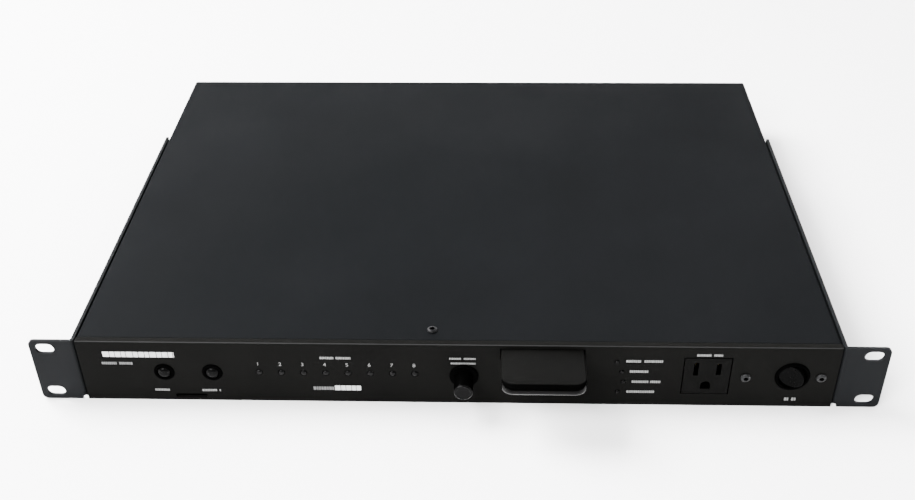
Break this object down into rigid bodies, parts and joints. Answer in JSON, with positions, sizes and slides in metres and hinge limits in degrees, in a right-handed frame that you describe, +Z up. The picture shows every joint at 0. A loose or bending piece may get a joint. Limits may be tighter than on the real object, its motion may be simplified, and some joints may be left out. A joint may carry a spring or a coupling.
{
  "type": "rack power strip",
  "caption": "One-unit rack power strip with front and rear grounded outlets, status lamps, push buttons, dimmer knob, pull-out light and a round breaker switch on slotted rack ears.",
  "frame": {"origin": "on the flat underside, midway between the sides and 150 mm behind the face of the front panel", "axes": "+X to the right as seen from the front, +Y from the front panel to the back, +Z up"},
  "size_m": [0.4826, 0.35, 0.0452],
  "materials": {
    "powder_coat": "satin textured black",
    "panel_paint": "matte black",
    "gloss_black": "glossy black",
    "moulded_black": "matte black",
    "zinc_screw": "zinc plated",
    "black_screw": "black zinc",
    "clear_lens": "clear moulded",
    "white_lens": "diffusing white",
    "bare_steel": "bare",
    "green_board": "solder mask",
    "relay_case": "moulded",
    "copper_winding": "enamelled copper wire",
    "yellow_film": "moulded"
  },
  "bodies": {
    "chassis": {"breaker_body": "gloss_black", "button_bezel_1": "gloss_black", "button_bezel_2": "gloss_black", "button_switch_1": "moulded_black", "button_switch_2": "moulded_black", "chassis_tray": "powder_coat", "control_pcb": "green_board", "cover_screw_front": "black_screw", "cover_screw_rear_left": "black_screw", "cover_screw_rear_right": "black_screw", "dimmer_pot": "moulded_black", "ear_screw_left_front": "black_screw", "ear_screw_left_rear": "black_screw", "ear_screw_right_front": "black_screw", "ear_screw_right_rear": "black_screw", "filter_capacitor": "yellow_film", "filter_choke": "copper_winding", "front_outlet": "moulded_black", "front_panel": "panel_paint", "light_guide": "moulded_black", "main_pcb": "green_board", "network_board": "green_board", "network_jack": "bare_steel", "outlet_light_pipe": "clear_lens", "panel_screw_left": "zinc_screw", "panel_screw_right": "zinc_screw", "power_inlet": "moulded_black", "rack_ear_left": "powder_coat", "rack_ear_right": "powder_coat", "rear_outlet_1": "moulded_black", "rear_outlet_2": "moulded_black", "rear_outlet_3": "moulded_black", "rear_outlet_4": "moulded_black", "rear_outlet_5": "moulded_black", "rear_outlet_6": "moulded_black", "rear_outlet_7": "moulded_black", "rear_outlet_8": "moulded_black", "rear_panel": "powder_coat", "relay_1": "relay_case", "relay_2": "relay_case", "relay_3": "relay_case", "relay_4": "relay_case", "relay_5": "relay_case", "relay_6": "relay_case", "relay_7": "relay_case", "relay_8": "relay_case", "status_light_pipe": "clear_lens", "status_pcb": "green_board", "surge_module": "moulded_black", "top_cover": "powder_coat", "transformer": "bare_steel"},
    "button_1": {"reboot_button_1": "gloss_black"},
    "button_2": {"reboot_button_2": "gloss_black"},
    "knob": {"dimmer_knob": "gloss_black", "dimmer_shaft": "bare_steel"},
    "light": {"light_drawer": "moulded_black", "light_lens": "white_lens", "light_led_strip": "green_board"},
    "rocker": {"breaker_rocker": "gloss_black"}
  },
  "joints": [
    {"name": "reboot_1_press", "type": "slide", "parent": "chassis", "child": "button_1", "axis": [0, 1, 0], "range_m": [0, 0.001], "stiffness_N_per_m": 800},
    {"name": "reboot_2_press", "type": "slide", "parent": "chassis", "child": "button_2", "axis": [0, 1, 0], "range_m": [0, 0.001], "stiffness_N_per_m": 800},
    {"name": "dimmer_turn", "type": "hinge", "parent": "chassis", "child": "knob", "pos_m": [0.0049, -0.15, 0.021], "axis": [0, 1, 0], "range_deg": [-150, 150]},
    {"name": "light_slide", "type": "slide", "parent": "chassis", "child": "light", "axis": [0, 1, 0], "range_m": [0, 0.0295]},
    {"name": "breaker_throw", "type": "hinge", "parent": "chassis", "child": "rocker", "pos_m": [0.1894, -0.1495, 0.0228], "axis": [0, 0, 1], "range_deg": [0, 48]}
  ]
}
